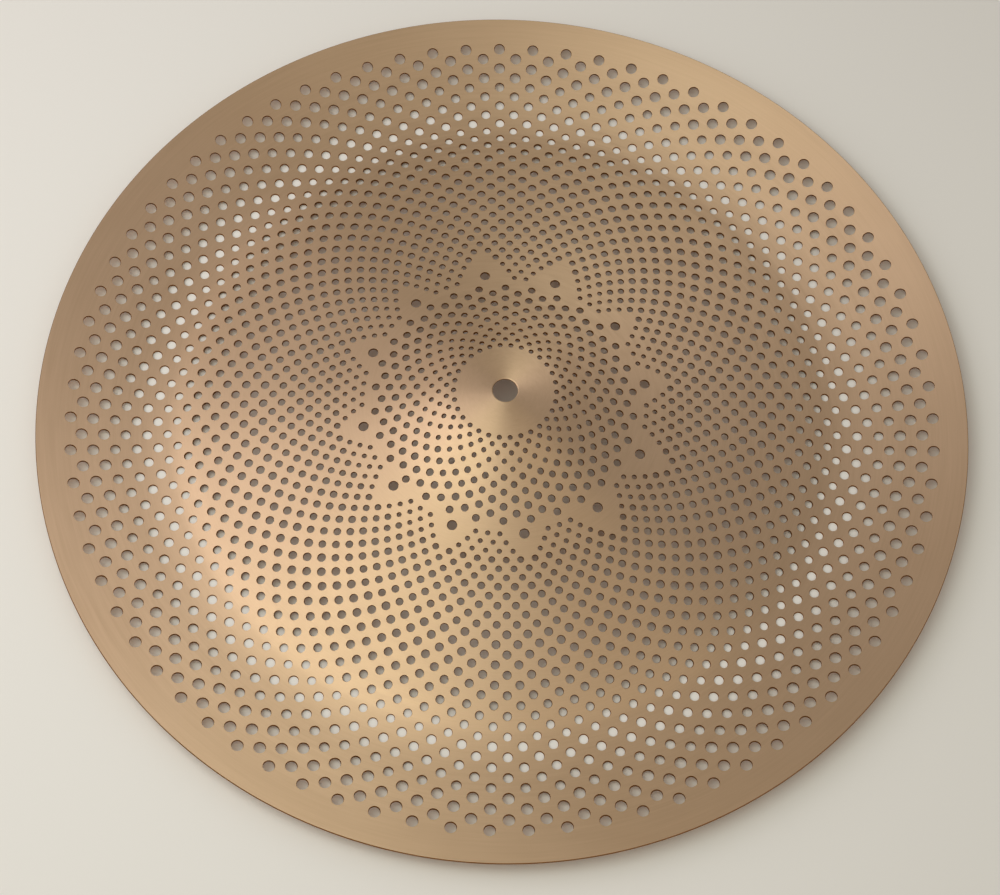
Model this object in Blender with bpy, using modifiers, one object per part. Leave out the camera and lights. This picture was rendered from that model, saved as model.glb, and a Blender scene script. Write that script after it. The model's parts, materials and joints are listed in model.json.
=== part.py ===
# China cymbal: one round sheet of metal, punched flat and then pressed to shape.
#
# The blank is a flat net whose nodes are the centres of its openings. Opening a node makes
# its hole, and pressing the net gives the bell, the bow, the valley and the upturned
# flange. Lengths are in metres. The underside of the valley rests on z = 0, and
# the cymbal's axis is Z, through the middle of its centre hole.

import math

import bmesh
import bpy
from mathutils import Vector
from mathutils.geometry import delaunay_2d_cdt

NAME = "china_cymbal"

# Sheet and rim
SHEET = 0.0009
RIM_RADIUS = 0.2286
RIM_HEIGHT = 0.0118
RIM_BAND = 0.0118
RIM_SEGMENTS = 100

# Upturned flange: how far its middle hangs below a straight cone
FLANGE_SAG = 0.0013

# Valley: the ring that the cymbal rests on when it lies bell up
VALLEY_RADIUS = 0.1675
REST_WIDTH = 0.0030
VALLEY_SEGMENTS = 75

# Bow: the broad slope between the bell and the valley
BOW_TOP_HEIGHT = 0.0173
BOW_ARCH = 0.0008
BOW_EDGE_HEIGHT = 0.0039
VALLEY_BEND_WIDTH = 0.0175

# Bell
BELL_RADIUS = 0.0610
FLANK_RADIUS = 0.0430
FLANK_HEIGHT = 0.0225
CROWN_RADIUS = 0.0250
CROWN_HEIGHT = 0.0288
TOP_HEIGHT = 0.0298
LAND_RADIUS = 0.0095
CENTRE_HOLE_DIAMETER = 0.0122
BELL_SEGMENTS = 24

# Twelve large holes round the foot of the bell. Each place is a count of half pitches of
# the wide lattice: an even one is on its innermost ring, an odd one just outside it.
LARGE_HOLE_EVEN_RADIUS = 0.0700
LARGE_HOLE_ODD_RADIUS = 0.0712
LARGE_HOLE_DIAMETER = 0.0050
LARGE_HOLE_PLACES = (2, 14, 27, 39, 52, 64, 78, 90, 102, 114, 127, 139)
BLANK_RINGS = 4

# Wide lattice, from the foot of the bell to the rim: staggered rings of small holes.
# Each zone is (rings, hole diameter, radial pitch), from the inside out.
WIDE_FIRST_RING = 0.0697
WIDE_COUNT = 75
WIDE_START_ANGLE = math.radians(3.5)
WIDE_ZONES = (
    (3, 0.0025, 0.00426),
    (3, 0.0033, 0.00436),
    (5, 0.0038, 0.00457),
    (11, 0.0043, 0.00474),
    (5, 0.0050, 0.00517),
    (4, 0.0058, 0.00531),
)

# Bell lattice, in the same form
BELL_FIRST_RING = 0.0250
BELL_COUNT = 30
BELL_START_ANGLE = math.radians(4.79)
BELL_ZONES = (
    (5, 0.0025, 0.00362),
    (3, 0.0033, 0.00340),
    (4, 0.0038, 0.00338),
)

# The solid has one opening for each block of small holes, three rings by three places. It
# stands where the block's middle hole is, and is as wide as the three holes side by side.
# Beside the rest ring there is room for narrower ones only, so there are twice as many.
BLOCK = 3
WIDE_FIRST_MIDDLE = 2
BELL_FIRST_MIDDLE = 1

# The least metal between two openings, or between an opening and an edge
LEAST_WEB = 0.0008

# Finish: satin brushed bronze
COLOR = (0.52, 0.34, 0.19, 1.0)
ROUGHNESS = 0.36
METALLIC = 1.0


def clear_scene():
    """Start from an empty scene."""
    for old in list(bpy.data.objects):
        bpy.data.objects.remove(old, do_unlink=True)


# The pressed shape

def profile_stations():
    """Radius and height of the sheet's upper face, from the centre hole to the rim."""
    bow_edge = VALLEY_RADIUS - VALLEY_BEND_WIDTH
    bow_middle = (BELL_RADIUS + bow_edge) / 2
    bow_middle_height = (BOW_TOP_HEIGHT + BOW_EDGE_HEIGHT) / 2 + BOW_ARCH
    rest_outer = VALLEY_RADIUS + REST_WIDTH / 2
    flange_middle = (rest_outer + RIM_RADIUS) / 2
    flange_middle_height = (SHEET + RIM_HEIGHT) / 2 - FLANGE_SAG
    return (
        (0.0, TOP_HEIGHT),
        (LAND_RADIUS, TOP_HEIGHT),
        (CROWN_RADIUS, CROWN_HEIGHT),
        (FLANK_RADIUS, FLANK_HEIGHT),
        (BELL_RADIUS, BOW_TOP_HEIGHT),
        (bow_middle, bow_middle_height),
        (bow_edge, BOW_EDGE_HEIGHT),
        (VALLEY_RADIUS - REST_WIDTH / 2, SHEET),
        (rest_outer, SHEET),
        (flange_middle, flange_middle_height),
        (RIM_RADIUS, RIM_HEIGHT),
    )


def station_slopes(stations):
    """Slope at each station, level wherever the profile turns or lies flat."""
    rises = [
        (high - low) / (far - near)
        for (near, low), (far, high) in zip(stations, stations[1:])
    ]
    slopes = [rises[0]]
    for before, after in zip(rises, rises[1:]):
        level = before * after <= 0
        slopes.append(0.0 if level else 2 * before * after / (before + after))
    return slopes + [rises[-1]]


STATIONS = profile_stations()
SLOPES = station_slopes(STATIONS)


def pressed_height(radius):
    """Height of the upper face at a radius: a smooth curve through the stations."""
    last = len(STATIONS) - 2
    span = next((i for i in range(last) if radius <= STATIONS[i + 1][0]), last)
    (near, low), (far, high) = STATIONS[span], STATIONS[span + 1]
    width = far - near
    t = (radius - near) / width
    return (
        low * (1 + 2 * t) * (1 - t) ** 2
        + high * t * t * (3 - 2 * t)
        + width * t * (1 - t) * ((1 - t) * SLOPES[span] - t * SLOPES[span + 1])
    )


# The punched pattern

def polar(radius, angle):
    """Point of the flat blank at a radius and an angle."""
    return Vector((radius * math.cos(angle), radius * math.sin(angle)))


def circle(radius, count):
    """Evenly spaced points round the axis."""
    return [polar(radius, math.tau * step / count) for step in range(count)]


def rings(first_radius, zones):
    """Radius and hole diameter of each ring of a lattice, from the inside out."""
    radius = first_radius
    for count, diameter, pitch in zones:
        for _ in range(count):
            yield radius, diameter
            radius += pitch


def beside_large_hole(ring, place):
    """Whether a block's opening would reach into the blank kite round a large hole."""
    turn = 2 * WIDE_COUNT
    reach = BLANK_RINGS - ring
    gaps = [abs(place - large) for large in LARGE_HOLE_PLACES]
    return any(min(gap, turn - gap) <= reach for gap in gaps)


def large_holes():
    """Centre and radius of the twelve large holes."""
    half_pitch = math.pi / WIDE_COUNT
    for place in LARGE_HOLE_PLACES:
        radius = LARGE_HOLE_ODD_RADIUS if place % 2 else LARGE_HOLE_EVEN_RADIUS
        angle = WIDE_START_ANGLE + place * half_pitch
        yield polar(radius, angle), LARGE_HOLE_DIAMETER / 2


def opening_radius(ring_radius, diameter):
    """Radius of a block's opening, with metal beside the land, the rest ring and the rim."""
    room = min(
        ring_radius - LAND_RADIUS,
        abs(ring_radius - VALLEY_RADIUS) - REST_WIDTH / 2,
        RIM_RADIUS - RIM_BAND - ring_radius,
    )
    return min(BLOCK * diameter / 2, room - LEAST_WEB)


def wide_openings():
    """Centre and radius of the openings of the wide lattice."""
    half_pitch = math.pi / WIDE_COUNT
    for ring, (radius, diameter) in enumerate(rings(WIDE_FIRST_RING, WIDE_ZONES)):
        if ring % BLOCK != WIDE_FIRST_MIDDLE:
            continue
        opening = opening_radius(radius, diameter)
        narrowed = opening < BLOCK * diameter / 2
        spacing = BLOCK if narrowed else 2 * BLOCK
        stagger = BLOCK * (ring % 2)
        for place in range(stagger, stagger + 2 * WIDE_COUNT, spacing):
            if not beside_large_hole(ring, place):
                angle = WIDE_START_ANGLE + place * half_pitch
                yield polar(radius, angle), opening


def bell_openings():
    """Centre and radius of the openings of the bell lattice."""
    half_pitch = math.pi / BELL_COUNT
    for ring, (radius, diameter) in enumerate(rings(BELL_FIRST_RING, BELL_ZONES)):
        if ring % BLOCK != BELL_FIRST_MIDDLE:
            continue
        stagger = BLOCK * ((ring + 1) % 2)
        for place in range(stagger, 2 * BELL_COUNT, 2 * BLOCK):
            angle = BELL_START_ANGLE + place * half_pitch
            yield polar(radius, angle), opening_radius(radius, diameter)


def openings():
    """All openings but the centre hole, each with metal between it and the others."""
    kept = []
    for group in (large_holes(), bell_openings(), wide_openings()):
        for centre, radius in group:
            free = all(
                (centre - other).length > radius + size + LEAST_WEB
                for other, size in kept
            )
            if free:
                kept.append((centre, radius))
    return kept


# The sheet

def plain_loops():
    """Closed rings of points that carry no holes: edges, the land and the rest ring."""
    crown = (LAND_RADIUS + BELL_FIRST_RING) / 2
    return (
        circle(CENTRE_HOLE_DIAMETER / 2, BELL_SEGMENTS),
        circle(LAND_RADIUS, BELL_SEGMENTS),
        circle(crown, BELL_SEGMENTS),
        circle(VALLEY_RADIUS - REST_WIDTH / 2, VALLEY_SEGMENTS),
        circle(VALLEY_RADIUS + REST_WIDTH / 2, VALLEY_SEGMENTS),
        circle(RIM_RADIUS, RIM_SEGMENTS),
    )


def flat_net(holes):
    """Flat net of triangles between the loops, with a node at the centre of each opening."""
    points = []
    edges = []
    for loop in plain_loops():
        start = len(points)
        points.extend(loop)
        edges.extend(
            (start + i, start + (i + 1) % len(loop)) for i in range(len(loop))
        )
    first_node = len(points)
    points.extend(centre for centre, _ in holes)
    found, _, faces, sources, _, _ = delaunay_2d_cdt(points, edges, [], 0, 1e-7)

    net = bmesh.new()
    corners = [net.verts.new((point.x, point.y, 0.0)) for point in found]
    for face in faces:
        in_centre_hole = all(sources[i][0] < BELL_SEGMENTS for i in face)
        if not in_centre_hole:
            net.faces.new([corners[i] for i in face])
    nodes = {}
    for corner, source in zip(corners, sources):
        if source[0] >= first_node:
            radius = holes[source[0] - first_node][1]
            nodes.setdefault(radius, []).append(corner)
    return net, nodes


def open_holes(net, nodes):
    """Open each node of the net to a hole with a corner on every edge that met there."""
    for radius, corners in sorted(nodes.items()):
        opened = bmesh.ops.bevel(
            net,
            geom=corners,
            offset=radius,
            offset_type="OFFSET",
            segments=1,
            profile=0.5,
            affect="VERTICES",
            material=-1,
        )
        bmesh.ops.delete(net, geom=opened["faces"], context="FACES_ONLY")


def pressed_sheet():
    """The upper face of the cymbal: the punched blank, pressed to its profile."""
    net, nodes = flat_net(openings())
    open_holes(net, nodes)
    bmesh.ops.triangulate(net, faces=net.faces[:])
    for corner in net.verts:
        corner.co.z = pressed_height(corner.co.xy.length)
    bmesh.ops.recalc_face_normals(net, faces=net.faces[:])
    if sum(face.normal.z for face in net.faces) < 0:
        bmesh.ops.reverse_faces(net, faces=net.faces[:])
    mesh = bpy.data.meshes.new("cymbal")
    net.to_mesh(mesh)
    net.free()
    return mesh


def bronze():
    """Satin bronze."""
    material = bpy.data.materials.new("satin_bronze")
    material.use_nodes = True
    shader = material.node_tree.nodes["Principled BSDF"]
    shader.inputs["Base Color"].default_value = COLOR
    shader.inputs["Roughness"].default_value = ROUGHNESS
    shader.inputs["Metallic"].default_value = METALLIC
    return material


def build_cymbal(collection):
    """The whole cymbal: one sheet of even thickness."""
    cymbal = bpy.data.objects.new("cymbal", pressed_sheet())
    collection.objects.link(cymbal)
    cymbal.data.materials.append(bronze())
    wall = cymbal.modifiers.new("sheet", "SOLIDIFY")
    wall.thickness = SHEET
    wall.offset = -1.0
    wall.use_even_offset = True
    wall.use_rim = True
    return cymbal


def main():
    clear_scene()
    collection = bpy.data.collections.new(NAME)
    bpy.context.scene.collection.children.link(collection)
    build_cymbal(collection)


main()
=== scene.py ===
# %% [markdown]
# # A perforated china cymbal
#
# A china cymbal is a single sheet of bronze. It is punched full of holes while it is flat,
# then pressed and spun to its shape: a bell in the middle, a broad bow sloping down from it,
# a valley, and a rim that turns up again. We follow the same order here: punch, press,
# give the sheet its thickness, then finish the metal.

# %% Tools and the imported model
import json
import math

import bmesh
import bpy
from mathutils import Matrix, Vector

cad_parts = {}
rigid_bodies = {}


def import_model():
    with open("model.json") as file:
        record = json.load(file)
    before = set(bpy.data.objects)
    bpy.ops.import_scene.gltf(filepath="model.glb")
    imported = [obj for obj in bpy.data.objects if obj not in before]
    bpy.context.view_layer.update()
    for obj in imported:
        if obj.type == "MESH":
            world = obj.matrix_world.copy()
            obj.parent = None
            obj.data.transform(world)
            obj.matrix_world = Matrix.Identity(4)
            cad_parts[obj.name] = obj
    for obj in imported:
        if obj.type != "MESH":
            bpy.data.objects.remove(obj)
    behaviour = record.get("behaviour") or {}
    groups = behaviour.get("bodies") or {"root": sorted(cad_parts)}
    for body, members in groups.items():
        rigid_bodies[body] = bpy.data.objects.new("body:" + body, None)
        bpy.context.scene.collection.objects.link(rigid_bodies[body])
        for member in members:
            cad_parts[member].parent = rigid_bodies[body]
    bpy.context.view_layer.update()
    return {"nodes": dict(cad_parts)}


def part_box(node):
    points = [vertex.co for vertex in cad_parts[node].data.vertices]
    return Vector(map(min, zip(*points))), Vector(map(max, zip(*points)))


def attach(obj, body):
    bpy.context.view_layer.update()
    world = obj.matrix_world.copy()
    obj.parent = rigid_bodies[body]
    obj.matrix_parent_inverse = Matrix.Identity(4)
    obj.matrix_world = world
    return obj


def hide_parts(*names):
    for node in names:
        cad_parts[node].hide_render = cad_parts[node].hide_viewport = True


for leftover in list(bpy.data.objects):
    bpy.data.objects.remove(leftover, do_unlink=True)

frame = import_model()
low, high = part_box("cymbal")
print("nodes in the frame:", sorted(frame["nodes"]))
print("the solid is", [round(side * 1000, 1) for side in high - low], "mm")

# %% [markdown]
# ## Sizes
#
# The rim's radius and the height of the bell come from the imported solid, so the dressed
# cymbal can't drift away from it. The rest are the sizes of the pressing tool and of the
# punches, in metres.

# %% Sizes of the sheet
SHEET = 0.0009
RIM_LIP = 0.0002
RIM_RADIUS = (high.x - low.x) / 2 - RIM_LIP
TOP_HEIGHT = high.z
RIM_HEIGHT = 0.0118

FLANGE_SAG = 0.0013
VALLEY_RADIUS = 0.1675
REST_WIDTH = 0.0030
VALLEY_BEND_WIDTH = 0.0175
BOW_EDGE_HEIGHT = 0.0039
BOW_ARCH = 0.0008
BOW_TOP_HEIGHT = 0.0173
BELL_RADIUS = 0.0610
FLANK_RADIUS, FLANK_HEIGHT = 0.0430, 0.0225
CROWN_RADIUS, CROWN_HEIGHT = 0.0250, 0.0288
LAND_RADIUS = 0.0095
CENTRE_HOLE = 0.0122
print("rim radius", round(RIM_RADIUS * 1000, 1), "mm, top", round(TOP_HEIGHT * 1000, 1), "mm")

# %% [markdown]
# ## The pressed shape
#
# Seen in section, the cymbal is one smooth line. Few points are enough to say where it
# goes: the flat land round the centre hole, the crown and the flank of the bell, its foot,
# the middle and the edge of the bow, the flat bottom of the valley, and the flange. A smooth
# curve through them, level where the line turns, never overshoots the way a plain spline
# would. We keep its slope too, because the slope gives exact normals for the shading later.

# %% Profile of the upper face
def profile_stations():
    """Radius and height of the upper face, from the axis to the rim."""
    bow_edge = VALLEY_RADIUS - VALLEY_BEND_WIDTH
    rest_outer = VALLEY_RADIUS + REST_WIDTH / 2
    return (
        (0.0, TOP_HEIGHT),
        (LAND_RADIUS, TOP_HEIGHT),
        (CROWN_RADIUS, CROWN_HEIGHT),
        (FLANK_RADIUS, FLANK_HEIGHT),
        (BELL_RADIUS, BOW_TOP_HEIGHT),
        ((BELL_RADIUS + bow_edge) / 2, (BOW_TOP_HEIGHT + BOW_EDGE_HEIGHT) / 2 + BOW_ARCH),
        (bow_edge, BOW_EDGE_HEIGHT),
        (VALLEY_RADIUS - REST_WIDTH / 2, SHEET),
        (rest_outer, SHEET),
        ((rest_outer + RIM_RADIUS) / 2, (SHEET + RIM_HEIGHT) / 2 - FLANGE_SAG),
        (RIM_RADIUS, RIM_HEIGHT),
    )


def station_slopes(stations):
    """Slope at each station, level wherever the profile turns or lies flat."""
    rises = [(b[1] - a[1]) / (b[0] - a[0]) for a, b in zip(stations, stations[1:])]
    slopes = [rises[0]]
    for before, after in zip(rises, rises[1:]):
        level = before * after <= 0
        slopes.append(0.0 if level else 2 * before * after / (before + after))
    return slopes + [rises[-1]]


STATIONS = profile_stations()
SLOPES = station_slopes(STATIONS)


def pressed(radius):
    """Height and slope of the upper face at a radius."""
    last = len(STATIONS) - 2
    span = next((i for i in range(last) if radius <= STATIONS[i + 1][0]), last)
    (near, start), (far, end) = STATIONS[span], STATIONS[span + 1]
    width = far - near
    t = (radius - near) / width
    height = start * (1 + 2 * t) * (1 - t) ** 2 + end * t * t * (3 - 2 * t)
    height += width * t * (1 - t) * ((1 - t) * SLOPES[span] - t * SLOPES[span + 1])
    slope = 6 * t * (1 - t) * (end - start) / width
    slope += (1 - t) * (1 - 3 * t) * SLOPES[span] - t * (2 - 3 * t) * SLOPES[span + 1]
    return height, slope


for name, radius in (("bell foot", BELL_RADIUS), ("valley", VALLEY_RADIUS), ("rim", RIM_RADIUS)):
    print(name, [round(value, 4) for value in pressed(radius)])

# %% [markdown]
# ## The punched pattern
#
# The holes stand in rings, and each ring is turned half a pitch against the next. That
# staggered lattice has a handy property: the sheet divides into diamonds, one for each hole,
# and every diamond meets its neighbours corner to corner. So we model one diamond with one
# hole for each ring and let the spin tool repeat it round the axis.
#
# A zone is a run of rings made with the same punch: how many rings, the diameter, the
# distance from ring to ring, and how many sides our hole gets. Larger holes get more sides.

# %% Lattices
WIDE_FIRST_RING = 0.0697
WIDE_COUNT = 75
WIDE_START = math.radians(3.5)
WIDE_ZONES = (
    (3, 0.0025, 0.00426, 14),
    (3, 0.0033, 0.00436, 14),
    (5, 0.0038, 0.00457, 14),
    (11, 0.0043, 0.00474, 14),
    (5, 0.0050, 0.00517, 16),
    (4, 0.0058, 0.00531, 16),
)

BELL_FIRST_RING = 0.0250
BELL_COUNT = 30
BELL_START = math.radians(4.79)
BELL_ZONES = (
    (5, 0.0025, 0.00362, 14),
    (3, 0.0033, 0.00340, 14),
    (4, 0.0038, 0.00338, 16),
)

LARGE_HOLE = 0.0050
LARGE_HOLE_EVEN_RADIUS = 0.0700
LARGE_HOLE_ODD_RADIUS = 0.0712
LARGE_HOLE_PLACES = (2, 14, 27, 39, 52, 64, 78, 90, 102, 114, 127, 139)
BLANK_RINGS = 4

COLLAR = 0.0007
CLOSE = 1e-6


def ring_list(first_radius, zones):
    """Radius, hole diameter, radial pitch and sides of each ring, from the inside out."""
    radius = first_radius
    rings = []
    for count, diameter, pitch, sides in zones:
        for _ in range(count):
            rings.append((radius, diameter, pitch, sides))
            radius += pitch
    return rings


WIDE = ring_list(WIDE_FIRST_RING, WIDE_ZONES)
BELL = ring_list(BELL_FIRST_RING, BELL_ZONES)
print(len(WIDE), "wide rings of", WIDE_COUNT, "and", len(BELL), "bell rings of", BELL_COUNT)

# %% [markdown]
# ## One diamond of sheet
#
# A circle for the punched edge, four corners for the diamond, and a triangle fill between
# the two.

# %% A diamond with its hole
def loop_of(bm, corners):
    """Closed loop of new vertices and edges through a few corners."""
    verts = [bm.verts.new(corner) for corner in corners]
    return [bm.edges.new(pair) for pair in zip(verts, verts[1:] + verts[:1])]


def punched_circle(bm, centre, diameter, sides):
    """Edges of a punched hole, their vertices marked as punched."""
    made = bmesh.ops.create_circle(
        bm, segments=sides, radius=diameter / 2, matrix=Matrix.Translation(centre)
    )
    for vert in made["verts"]:
        vert[bm.verts.layers.int["punched"]] = 1
    return list({edge for vert in made["verts"] for edge in vert.link_edges})


def new_blank():
    """Empty bmesh with the mark that tells punched edges from open ones."""
    bm = bmesh.new()
    bm.verts.layers.int.new("punched")
    return bm


def diamond(bm, radius, inner, outer, half_pitch, diameter, sides):
    """One diamond on the +X axis, with its hole."""
    centre = Vector((radius, 0, 0))
    side = radius * math.cos(half_pitch), radius * math.sin(half_pitch)
    corners = ((inner, 0, 0), (side[0], -side[1], 0), (outer, 0, 0), (side[0], side[1], 0))
    edges = loop_of(bm, corners) + punched_circle(bm, centre, diameter, sides)
    bmesh.ops.triangle_fill(bm, edges=edges, use_beauty=True, normal=(0, 0, 1))


# %% [markdown]
# ## Rings of holes
#
# The spin tool copies the diamond round the axis. Where one of the large holes stands, the
# real sheet stays blank in a kite that points outwards. We take those diamonds out again
# and fill the kites later, together with the bands that carry no holes.

# %% Spin a ring, then leave out its blanks
def spun_ring(sheet, count, start, stagger, blank, **cell):
    """Add one ring of diamonds to the sheet."""
    ring = new_blank()
    half_pitch = math.pi / count
    diamond(ring, half_pitch=half_pitch, **cell)
    bmesh.ops.spin(
        ring,
        geom=ring.verts[:] + ring.edges[:] + ring.faces[:],
        axis=(0, 0, 1),
        cent=(0, 0, 0),
        angle=math.tau * (count - 1) / count,
        steps=count - 1,
        use_duplicate=True,
    )
    gone = []
    for face in ring.faces:
        middle = face.calc_center_median()
        turn = math.atan2(middle.y, middle.x) / (2 * half_pitch)
        place = (2 * round(turn) + stagger) % (2 * count)
        if blank(place):
            gone.append(face)
    bmesh.ops.delete(ring, geom=gone, context="FACES")
    turned = Matrix.Rotation(start + stagger * half_pitch, 3, "Z")
    bmesh.ops.rotate(ring, cent=(0, 0, 0), matrix=turned, verts=ring.verts[:])
    mesh = bpy.data.meshes.new("ring")
    ring.to_mesh(mesh)
    ring.free()
    sheet.from_mesh(mesh)
    bpy.data.meshes.remove(mesh)


def beside_large_hole(ring, place):
    """Whether a place of the wide lattice is in the blank kite round a large hole."""
    gaps = [abs(place - large) for large in LARGE_HOLE_PLACES]
    return any(min(gap, 2 * WIDE_COUNT - gap) <= BLANK_RINGS - 1 - ring for gap in gaps)


BELL_FOOT_GAP = 0.0021
FIRST_RING_GAP = 0.0024
BAND_INNER = BELL[-1][0] + BELL_FOOT_GAP
BAND_OUTER = WIDE_FIRST_RING - FIRST_RING_GAP


def punch_bell(sheet):
    """The staggered rings of the bell."""
    for i, (radius, diameter, pitch, sides) in enumerate(BELL):
        inner = radius - pitch if i == 0 else BELL[i - 1][0]
        outer = BAND_INNER if i == len(BELL) - 1 else BELL[i + 1][0]
        spun_ring(
            sheet, BELL_COUNT, BELL_START, (i + 1) % 2, lambda place: False,
            radius=radius, inner=inner, outer=outer, diameter=diameter, sides=sides,
        )


def punch_wide(sheet):
    """The staggered rings of the bow, the valley and the flange."""
    for i, (radius, diameter, pitch, sides) in enumerate(WIDE):
        inner = BAND_OUTER if i == 0 else WIDE[i - 1][0]
        outer = radius + pitch if i == len(WIDE) - 1 else WIDE[i + 1][0]
        spun_ring(
            sheet, WIDE_COUNT, WIDE_START, i % 2, lambda place: beside_large_hole(i, place),
            radius=radius, inner=inner, outer=outer, diameter=diameter, sides=sides,
        )


sheet = new_blank()
punch_bell(sheet)
punch_wide(sheet)
bmesh.ops.remove_doubles(sheet, verts=sheet.verts[:], dist=CLOSE)
print("perforated:", len(sheet.faces), "faces")

# %% [markdown]
# ## Bands without holes
#
# Three stretches stay plain: the disc round the centre hole, the band at the foot of the
# bell with its twelve kites, and the rim. Each starts from circles. Between two circles of
# equal count the bridge tool is neat. Against the zigzag edge of the diamonds a triangle
# fill is the better tool, because it takes any outline, and large holes in it too.

# %% Large holes with their collars
LARGE_HOLE_SIDES = 20
BAND_REACH = 0.0060


def is_open(edge):
    """Whether an edge is on the outline of the sheet but not on a punched hole."""
    layer = sheet.verts.layers.int["punched"]
    return edge.is_boundary and not all(vert[layer] for vert in edge.verts)


def outline(inner, outer):
    """Open edges whose ends lie between two radii."""
    return [
        edge
        for edge in sheet.edges
        if is_open(edge) and all(inner < vert.co.xy.length < outer for vert in edge.verts)
    ]


def large_hole(place):
    """A large hole and the collar of sheet round it."""
    angle = WIDE_START + place * math.pi / WIDE_COUNT
    radius = LARGE_HOLE_ODD_RADIUS if place % 2 else LARGE_HOLE_EVEN_RADIUS
    centre = Vector((radius * math.cos(angle), radius * math.sin(angle), 0))
    edge = punched_circle(sheet, centre, LARGE_HOLE, LARGE_HOLE_SIDES)
    ring = bmesh.ops.create_circle(
        sheet,
        segments=LARGE_HOLE_SIDES,
        radius=LARGE_HOLE / 2 + COLLAR,
        matrix=Matrix.Translation(centre),
    )["verts"]
    collar = {e for vert in ring for e in vert.link_edges}
    bmesh.ops.bridge_loops(sheet, edges=edge + list(collar))


for place in LARGE_HOLE_PLACES:
    large_hole(place)
band = outline(BAND_INNER - BAND_REACH, WIDE[BLANK_RINGS][0] + CLOSE)
bmesh.ops.triangle_fill(sheet, edges=band, use_beauty=True, normal=(0, 0, 1))
print("with the band at the foot of the bell:", len(sheet.faces), "faces")

# %% The disc round the centre hole, and the rim
DISC_CIRCLES = (0.0205, 0.0165, 0.0125, LAND_RADIUS, 0.0080)
DISC_SEGMENTS = 60
RIM_CIRCLES = (0.2195, 0.2225, 0.2255)
RIM_SEGMENTS = 300


def circle(radius, segments):
    """Edges of a plain circle round the axis."""
    made = bmesh.ops.create_circle(sheet, segments=segments, radius=radius)
    return list({edge for vert in made["verts"] for edge in vert.link_edges})


def plain_band(circles, zigzag):
    """Bridge a run of circles, and fill between the first one and a zigzag outline."""
    for near, far in zip(circles, circles[1:]):
        bmesh.ops.bridge_loops(sheet, edges=near + far)
    bmesh.ops.triangle_fill(
        sheet, edges=circles[0] + zigzag, use_beauty=True, normal=(0, 0, 1)
    )


disc_edge = outline(BELL[0][0] - BELL[0][2] - CLOSE, BELL[0][0] + CLOSE)
disc = [circle(radius, DISC_SEGMENTS) for radius in DISC_CIRCLES]
disc.append(punched_circle(sheet, Vector(), CENTRE_HOLE, DISC_SEGMENTS))
plain_band(disc, disc_edge)

rim_edge = outline(WIDE[-1][0] - CLOSE, RIM_RADIUS)
rim = [circle(radius, RIM_SEGMENTS) for radius in RIM_CIRCLES]
rim.append(circle(RIM_RADIUS, RIM_SEGMENTS))
plain_band(rim, rim_edge)
open_edges = sum(is_open(edge) for edge in sheet.edges)
print("whole blank:", len(sheet.faces), "faces,", open_edges, "open edges")

# %% [markdown]
# ## Press it, and give it its thickness
#
# Pressing lifts every vertex to the profile's height at its own radius. Solidify then makes
# the underside and the walls of the holes, 0.9 mm away along the sheet's own normals. The
# cut walls are rougher than the faces and carry painted shade that makes them darker, so
# they get a material slot of their own.
#
# A punch tears the last part of its way through the metal, so a punched hole is never quite
# as wide on one face as on the other. We walk round the lower edge of every hole but the
# centre one, which is deburred, and draw it in by about a fifth of a millimetre. It is a
# small thing, but with the walls' painted shade it is why every hole shows a dark crescent
# along its far side in the photograph.

# %% Press
for vert in sheet.verts:
    vert.co.z = pressed(vert.co.xy.length)[0]
bmesh.ops.recalc_face_normals(sheet, faces=sheet.faces[:])
if sum(face.normal.z for face in sheet.faces) < 0:
    bmesh.ops.reverse_faces(sheet, faces=sheet.faces[:])
bmesh.ops.triangulate(sheet, faces=sheet.faces[:])
heights = [vert.co.z * 1000 for vert in sheet.verts]
print("pressed between", round(min(heights), 2), "and", round(max(heights), 2), "mm")

# %% Thickness
LEANING = 0.5
BRUSHED, CUT = 0, 1

bmesh.ops.solidify(sheet, geom=sheet.faces[:], thickness=SHEET)
sheet.normal_update()
walls = [face for face in sheet.faces if abs(face.normal.z) < LEANING]
for wall in walls:
    wall.material_index = CUT
print("thick sheet:", len(sheet.faces), "faces,", len(walls), "of them cut walls")

# %% Taper of the holes
TAPER = 0.00022
WIDEST_TAPERED_RADIUS = 0.0050


def is_cut_edge(edge):
    """Whether an edge lies between a face of the sheet and a cut wall."""
    return sum(face.material_index == CUT for face in edge.link_faces) == 1


def lower_rims():
    """The closed edge loops where the cut walls meet the underside."""
    left = {
        edge
        for edge in sheet.edges
        if is_cut_edge(edge) and any(face.normal.z < -LEANING for face in edge.link_faces)
    }
    while left:
        edge = left.pop()
        verts = [edge.verts[0]]
        ahead = edge.verts[1]
        while ahead is not verts[0]:
            verts.append(ahead)
            edge = next(other for other in ahead.link_edges if other in left)
            left.discard(edge)
            ahead = edge.other_vert(ahead)
        yield verts


tapered = 0
for verts in lower_rims():
    middle = sum((vert.co for vert in verts), Vector()) / len(verts)
    radius = (verts[0].co - middle).length
    if radius > WIDEST_TAPERED_RADIUS:
        continue
    for vert in verts:
        vert.co = vert.co.lerp(middle, TAPER / radius)
    tapered += 1
print("tapered holes:", tapered)

# %% [markdown]
# ## Broken edges
#
# A cymbal's rim is filed so that it can't cut a hand, and the centre hole is deburred so that
# it doesn't chew the stand's sleeve. A narrow bevel does both. The rim's keeps the rough
# finish of the cut and its painted shade, so it outlines the cymbal with a thin dark line.
# The centre hole's is brushed with the face and catches the light.

# %% Rim and centre hole
RIM_CHAMFER = 0.0002
HOLE_CHAMFER = 0.0006


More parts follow.
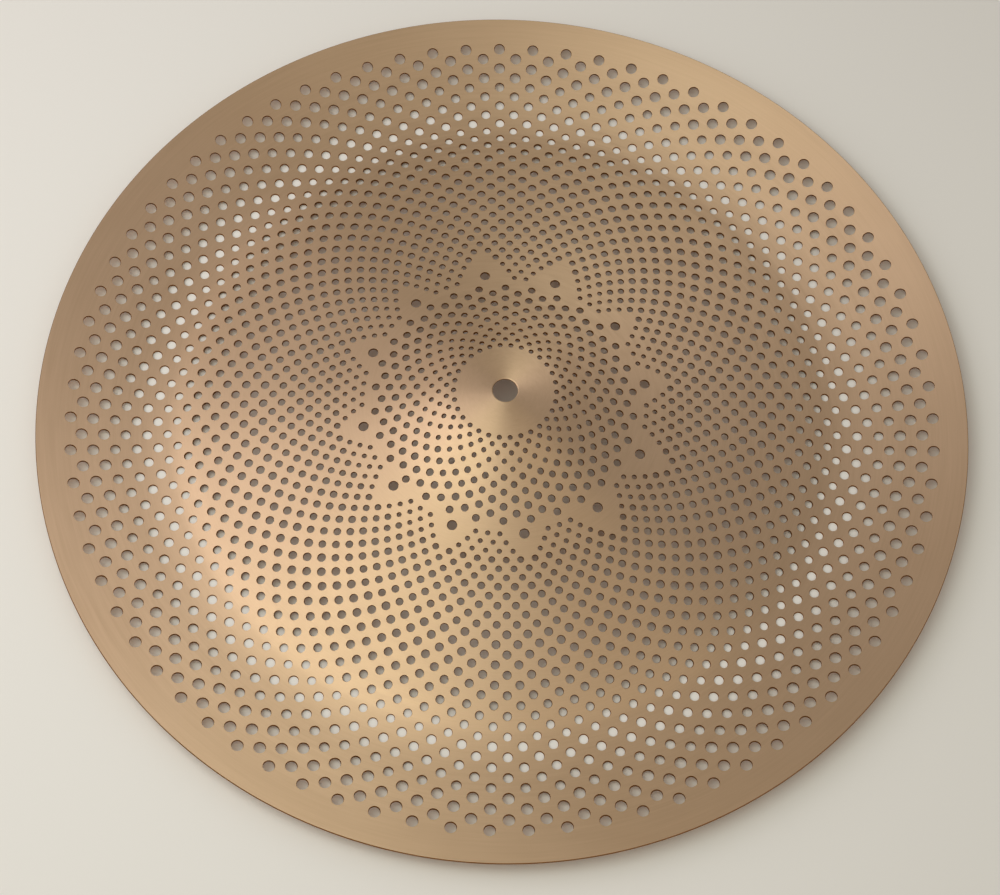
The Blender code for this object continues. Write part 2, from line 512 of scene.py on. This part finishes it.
def broken(edges, width, finish):
    """Bevel some cut edges, and give the new faces a finish."""
    made = bmesh.ops.bevel(
        sheet, geom=edges, offset=width, offset_type="OFFSET", segments=2, profile=0.5,
        affect="EDGES", material=-1, clamp_overlap=True,
    )
    for face in made["faces"]:
        face.material_index = finish
    return made["faces"]


def cut_edges(inner, outer, lowest):
    """Cut edges between two radii and above a height."""
    return [
        edge
        for edge in sheet.edges
        if all(inner < vert.co.xy.length < outer and vert.co.z > lowest for vert in edge.verts)
        and is_cut_edge(edge)
    ]


# The rim bevel takes the cut walls' painted shade, which draws the thin dark line.
rim_bevel = broken(cut_edges(RIM_RADIUS - CLOSE, math.inf, 0), RIM_CHAMFER, CUT)
hole_bevel = broken(cut_edges(0, LAND_RADIUS, TOP_HEIGHT - CLOSE), HOLE_CHAMFER, BRUSHED)
print("bevels:", len(rim_bevel), "faces on the rim and", len(hole_bevel), "on the centre hole")

# %% [markdown]
# ## Smooth normals
#
# The sheet is made of long thin triangles, and their averaged normals would ripple in a
# satin highlight. We know the true slope at every radius, so we write exact normals on both
# faces of the sheet and leave the walls and bevels to Blender.

# %% The mesh with exact normals
mesh = bpy.data.meshes.new("cymbal_sheet")
sheet.to_mesh(mesh)
sheet.free()
cymbal = bpy.data.objects.new("cymbal_sheet", mesh)
bpy.context.scene.collection.objects.link(cymbal)
SHARP_ANGLE = math.radians(35)
NEARLY_LEVEL = 0.93
AUTOMATIC = Vector()


def sheet_normal(place):
    """Normal of the upper face above or below a point."""
    radius = place.xy.length
    slope = pressed(radius)[1]
    return Vector((-slope * place.x / radius, -slope * place.y / radius, 1)).normalized()


mesh.shade_smooth()
mesh.set_sharp_from_angle(angle=SHARP_ANGLE)
exact = [sheet_normal(vert.co) for vert in mesh.vertices]
normals = []
for face in mesh.polygons:
    facing = face.normal.z
    for vert in face.vertices:
        if abs(facing) < NEARLY_LEVEL:
            normals.append(AUTOMATIC)
        else:
            normals.append(exact[vert] if facing > 0 else -exact[vert])
mesh.normals_split_custom_set(normals)
written = sum(normal.length > 0 for normal in normals)
print("custom normals on", written, "of", len(normals), "corners")

# %% [markdown]
# ## Satin bronze
#
# The finish is brushed on a lathe: thousands of fine scratches, all round the axis. Light
# spreads across the scratches and hardly along them, which is why the shine forms two wide
# fans instead of a spot. The anisotropic setting does that, turned a quarter so that it
# follows the circles.
#
# A small group makes the scratches themselves. It stretches noise along the circles: quick
# along the radius, slow along the angle.

# %% Node helpers
def put(tree, kind, place, operation=None, **inputs):
    """Add a node, and set its inputs by name, or by number as i0, i1 and so on."""
    node = tree.nodes.new(kind)
    node.location = place
    if operation:
        node.operation = operation
    for name, value in inputs.items():
        numbered = name[0] == "i" and name[1:].isdigit()
        socket = node.inputs[int(name[1:]) if numbered else name]
        if isinstance(value, bpy.types.NodeSocket):
            tree.links.new(value, socket)
        else:
            socket.default_value = value
    return node


def math_node(tree, operation, place, first, second):
    """A math node's result."""
    return put(tree, "ShaderNodeMath", place, operation, i0=first, i1=second).outputs[0]


def vector_node(tree, operation, place, **inputs):
    """A vector math node."""
    return put(tree, "ShaderNodeVectorMath", place, operation, **inputs)


def two_tones(tree, place, factor, dark, light):
    """A colour between two tones, by a factor from 0 to 1."""
    node = put(tree, "ShaderNodeMix", place)
    node.data_type = "RGBA"
    tree.links.new(factor, node.inputs["Factor"])
    node.inputs["A"].default_value = dark
    node.inputs["B"].default_value = light
    return node.outputs["Result"]


def map_range(tree, place, value, source, target=(0, 1)):
    """A value carried over from one range to another."""
    node = put(tree, "ShaderNodeMapRange", place, Value=value)
    node.inputs["From Min"].default_value, node.inputs["From Max"].default_value = source
    node.inputs["To Min"].default_value, node.inputs["To Max"].default_value = target
    return node.outputs["Result"]


def new_material(name):
    """A material with its node tree and its shader."""
    material = bpy.data.materials.new(name)
    material.use_nodes = True
    return material, material.node_tree, material.node_tree.nodes["Principled BSDF"]


# %% Group: scratches round the axis
def scratch_group():
    """Node group whose Scratches output runs from 0 to 1 across fine circles."""
    group = bpy.data.node_groups.new("round_scratches", "ShaderNodeTree")
    group.interface.new_socket("Lines per metre", in_out="INPUT", socket_type="NodeSocketFloat")
    group.interface.new_socket("Breaks", in_out="INPUT", socket_type="NodeSocketFloat")
    group.interface.new_socket("Scratches", in_out="OUTPUT", socket_type="NodeSocketFloat")
    given = put(group, "NodeGroupInput", (-900, 0))
    place = put(group, "ShaderNodeTexCoord", (-900, -200)).outputs["Object"]
    flat = vector_node(group, "MULTIPLY", (-700, -200), i0=place, i1=(1, 1, 0)).outputs[0]
    radius = vector_node(group, "LENGTH", (-500, -50), i0=flat).outputs["Value"]
    heading = vector_node(group, "NORMALIZE", (-500, -250), i0=flat).outputs[0]
    turned = vector_node(
        group, "SCALE", (-300, -250), i0=heading, Scale=given.outputs["Breaks"]
    ).outputs[0]
    across = math_node(group, "MULTIPLY", (-300, 0), radius, given.outputs["Lines per metre"])
    lift = put(group, "ShaderNodeCombineXYZ", (-300, -450), Z=across).outputs[0]
    where = vector_node(group, "ADD", (-100, -200), i0=turned, i1=lift).outputs[0]
    noise = put(group, "ShaderNodeTexNoise", (100, -100), Vector=where, Scale=1.0, Detail=3.0)
    result = put(group, "NodeGroupOutput", (300, 0))
    group.links.new(noise.outputs["Fac"], result.inputs["Scratches"])
    return group


SCRATCHES = scratch_group()


def scratches(tree, place, lines, breaks):
    """The scratch group's output, for so many lines a metre."""
    node = put(tree, "ShaderNodeGroup", place)
    node.node_tree = SCRATCHES
    node.inputs["Lines per metre"].default_value = lines
    node.inputs["Breaks"].default_value = breaks
    return node.outputs["Scratches"]


# %% The bronze of both faces
BRONZE_DARK = (0.68, 0.47, 0.30, 1)
BRONZE_LIGHT = (0.76, 0.54, 0.36, 1)
ROUGHNESS = 0.46
ROUGHNESS_SPREAD = 0.05
ANISOTROPY = 0.82
ROUND_THE_AXIS = 0.25
FINE_LINES, FINE_BREAKS = 2600, 9.0
COARSE_LINES, COARSE_BREAKS = 700, 5.0
PATCHES_PER_METRE = 16.0
SCRATCH_DEPTH = 0.00006
SCRATCH_STRENGTH = 0.25
TWO_NOISES = (0.6, 1.4)
THREE_NOISES = (1.0, 2.0)


def satin_bronze():
    """Brushed bronze between two tones."""
    material, tree, shader = new_material("satin_bronze")
    fine = scratches(tree, (-1000, 300), FINE_LINES, FINE_BREAKS)
    coarse = scratches(tree, (-1000, 100), COARSE_LINES, COARSE_BREAKS)
    place = put(tree, "ShaderNodeTexCoord", (-1200, -100)).outputs["Object"]
    patches = put(
        tree, "ShaderNodeTexNoise", (-1000, -100), Vector=place, Scale=PATCHES_PER_METRE, Detail=2.0
    )
    lines = math_node(tree, "ADD", (-800, 200), fine, coarse)
    mixed = math_node(tree, "ADD", (-600, 200), lines, patches.outputs["Fac"])
    tone = map_range(tree, (-400, 200), mixed, THREE_NOISES)
    color = two_tones(tree, (-200, 300), tone, BRONZE_DARK, BRONZE_LIGHT)
    tree.links.new(color, shader.inputs["Base Color"])

    spread = ROUGHNESS - ROUGHNESS_SPREAD, ROUGHNESS + ROUGHNESS_SPREAD
    rough = map_range(tree, (-400, -50), lines, TWO_NOISES, spread)
    tree.links.new(rough, shader.inputs["Roughness"])

    scored = put(
        tree, "ShaderNodeBump", (-200, -300),
        Strength=SCRATCH_STRENGTH, Distance=SCRATCH_DEPTH, Height=lines,
    )
    tree.links.new(scored.outputs[0], shader.inputs["Normal"])
    shader.inputs["Metallic"].default_value = 1
    shader.inputs["Anisotropic"].default_value = ANISOTROPY
    shader.inputs["Anisotropic Rotation"].default_value = ROUND_THE_AXIS
    return material


# %% [markdown]
# ## The cut walls
#
# A punch shears the metal, so the wall of a hole is grainy where the face is brushed, and
# no polishing cloth reaches it. Its colour is painted dark: painted shade for the walls, which
# face the front, where little light comes from. Seen along its length, even dark metal
# mirrors the pale table in white. The shader's specular tint keeps that glint brown, a
# painted shade as well.

# %% The bronze of the cut walls, painted dark with shade
# The two tones below and the grazing tint are painted shade, darker than bare cut bronze.
CUT_SHADE_DARK = (0.19, 0.080, 0.020, 1)
CUT_SHADE_LIGHT = (0.33, 0.145, 0.040, 1)
CUT_ROUGHNESS = 0.55
GRAZING_SHADE_TINT = (0.88, 0.46, 0.20, 1)
GRAINS_PER_METRE = 2500.0


def shaded_wall_bronze():
    """Rough bronze, painted dark as shade, whose grazing glint is kept brown as painted shade too.
    """
    material, tree, shader = new_material("shaded_wall_bronze")
    place = put(tree, "ShaderNodeTexCoord", (-800, 0)).outputs["Object"]
    grain = put(
        tree, "ShaderNodeTexNoise", (-600, 0), Vector=place, Scale=GRAINS_PER_METRE, Detail=1.0
    )
    color = two_tones(tree, (-300, 100), grain.outputs["Fac"], CUT_SHADE_DARK, CUT_SHADE_LIGHT)
    tree.links.new(color, shader.inputs["Base Color"])
    shader.inputs["Metallic"].default_value = 1
    shader.inputs["Roughness"].default_value = CUT_ROUGHNESS
    shader.inputs["Specular Tint"].default_value = GRAZING_SHADE_TINT
    return material


mesh.materials.append(satin_bronze())
mesh.materials.append(shaded_wall_bronze())
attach(cymbal, "root")
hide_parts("cymbal")
print("finishes:", [material.name for material in mesh.materials])

# %% [markdown]
# ## Table and light
#
# The cymbal lies bell up on a pale table and touches it only with the bottom of its valley.
# The strongest lamp stands almost overhead, a little to the left and to the front. Brushed
# metal answers it with the bright fan that runs from the bell towards seven o'clock, and a
# weak one opposite. A lamp on the left, like a window, lights the table from that side and
# puts the rim's soft shadow on the right. Weaker ones behind, low on the left and on the
# right keep the rest from going dull. All are wide, because it is wide light that gives
# brushed metal its broad, quiet sheen. The room's own light fills in the shadows.

# %% Table
TABLE_SIZE = 12.0
TABLE_COLOR = (0.88, 0.85, 0.82, 1)
TABLE_ROUGHNESS = 0.8

bpy.ops.mesh.primitive_plane_add(size=TABLE_SIZE, location=(0, 0, 0))
table = bpy.context.object
table.name = "table_top"
paint, _, paint_shader = new_material("pale_table")
paint_shader.inputs["Base Color"].default_value = TABLE_COLOR
paint_shader.inputs["Roughness"].default_value = TABLE_ROUGHNESS
table.data.materials.append(paint)
print("table:", TABLE_SIZE, "m square, at height 0")

# %% Soft light
ROOM_COLOR = (1, 0.955, 0.88, 1)
ROOM_STRENGTH = 0.34

world = bpy.data.worlds.new("room")
bpy.context.scene.world = world
world.use_nodes = True
room = world.node_tree.nodes["Background"]
room.inputs["Color"].default_value = ROOM_COLOR
room.inputs["Strength"].default_value = ROOM_STRENGTH


def soft_lamp(name, direction, rise, distance, size, power, color):
    """A square lamp that looks at the cymbal.

    Its direction is in degrees from +X round towards +Y, and its rise in degrees above the
    table. Power is in watts.
    """
    data = bpy.data.lights.new(name, "AREA")
    data.size = size
    data.energy = power
    data.color = color
    round_axis = Matrix.Rotation(math.radians(direction), 3, "Z")
    upwards = Matrix.Rotation(math.radians(-rise), 3, "Y")
    place = round_axis @ upwards @ Vector((1, 0, 0))
    lamp = bpy.data.objects.new(name, data)
    lamp.location = place * distance
    lamp.rotation_euler = (-place).to_track_quat("-Z", "Y").to_euler()
    bpy.context.scene.collection.objects.link(lamp)
    print(name, "lamp at", [round(value, 2) for value in lamp.location], "m")


soft_lamp(
    "ceiling", direction=217, rise=69, distance=1.04, size=0.63,
    power=2.80, color=(0.955, 1, 0.87),
)
soft_lamp(
    "back window", direction=134, rise=38, distance=0.91, size=0.54,
    power=0.52, color=(1, 0.94, 0.97),
)
soft_lamp(
    "left window", direction=171, rise=51, distance=1.04, size=0.63,
    power=1.95, color=(1, 0.985, 1),
)
soft_lamp(
    "left, low down", direction=180, rise=22, distance=1.30, size=0.80,
    power=1.15, color=(1, 0.95, 0.97),
)
soft_lamp(
    "right", direction=313, rise=61, distance=1.68, size=1.00,
    power=1.70, color=(1, 0.93, 0.68),
)

# %% [markdown]
# ## Camera
#
# The rim is a circle, so its ellipse in the photograph gives the tilt of the view, and
# the way the rings of holes crowd together towards the back gives the distance. Together
# they put the camera about 65 degrees above the table and 1.1 m away, with a long lens.

# %% Camera
CAMERA_PLACE = Vector((-0.0355, -0.4902, 1.0320))
CAMERA_TURN = (24.643, -1.539, -0.706)
LENS, SENSOR_WIDTH = 82.9, 36
NEAR_CLIP = 0.01

camera_data = bpy.data.cameras.new("camera")
camera_data.lens = LENS
camera_data.sensor_width = SENSOR_WIDTH
camera_data.clip_start = NEAR_CLIP
camera = bpy.data.objects.new("camera", camera_data)
camera.location = CAMERA_PLACE
camera.rotation_euler = [math.radians(turn) for turn in CAMERA_TURN]
bpy.context.scene.collection.objects.link(camera)
bpy.context.scene.camera = camera
distance = CAMERA_PLACE.length
elevation = math.degrees(math.asin(CAMERA_PLACE.z / distance))
print("camera", round(distance, 2), "m away,", round(elevation), "degrees up")

bpy.context.scene.view_settings.view_transform = "Standard"
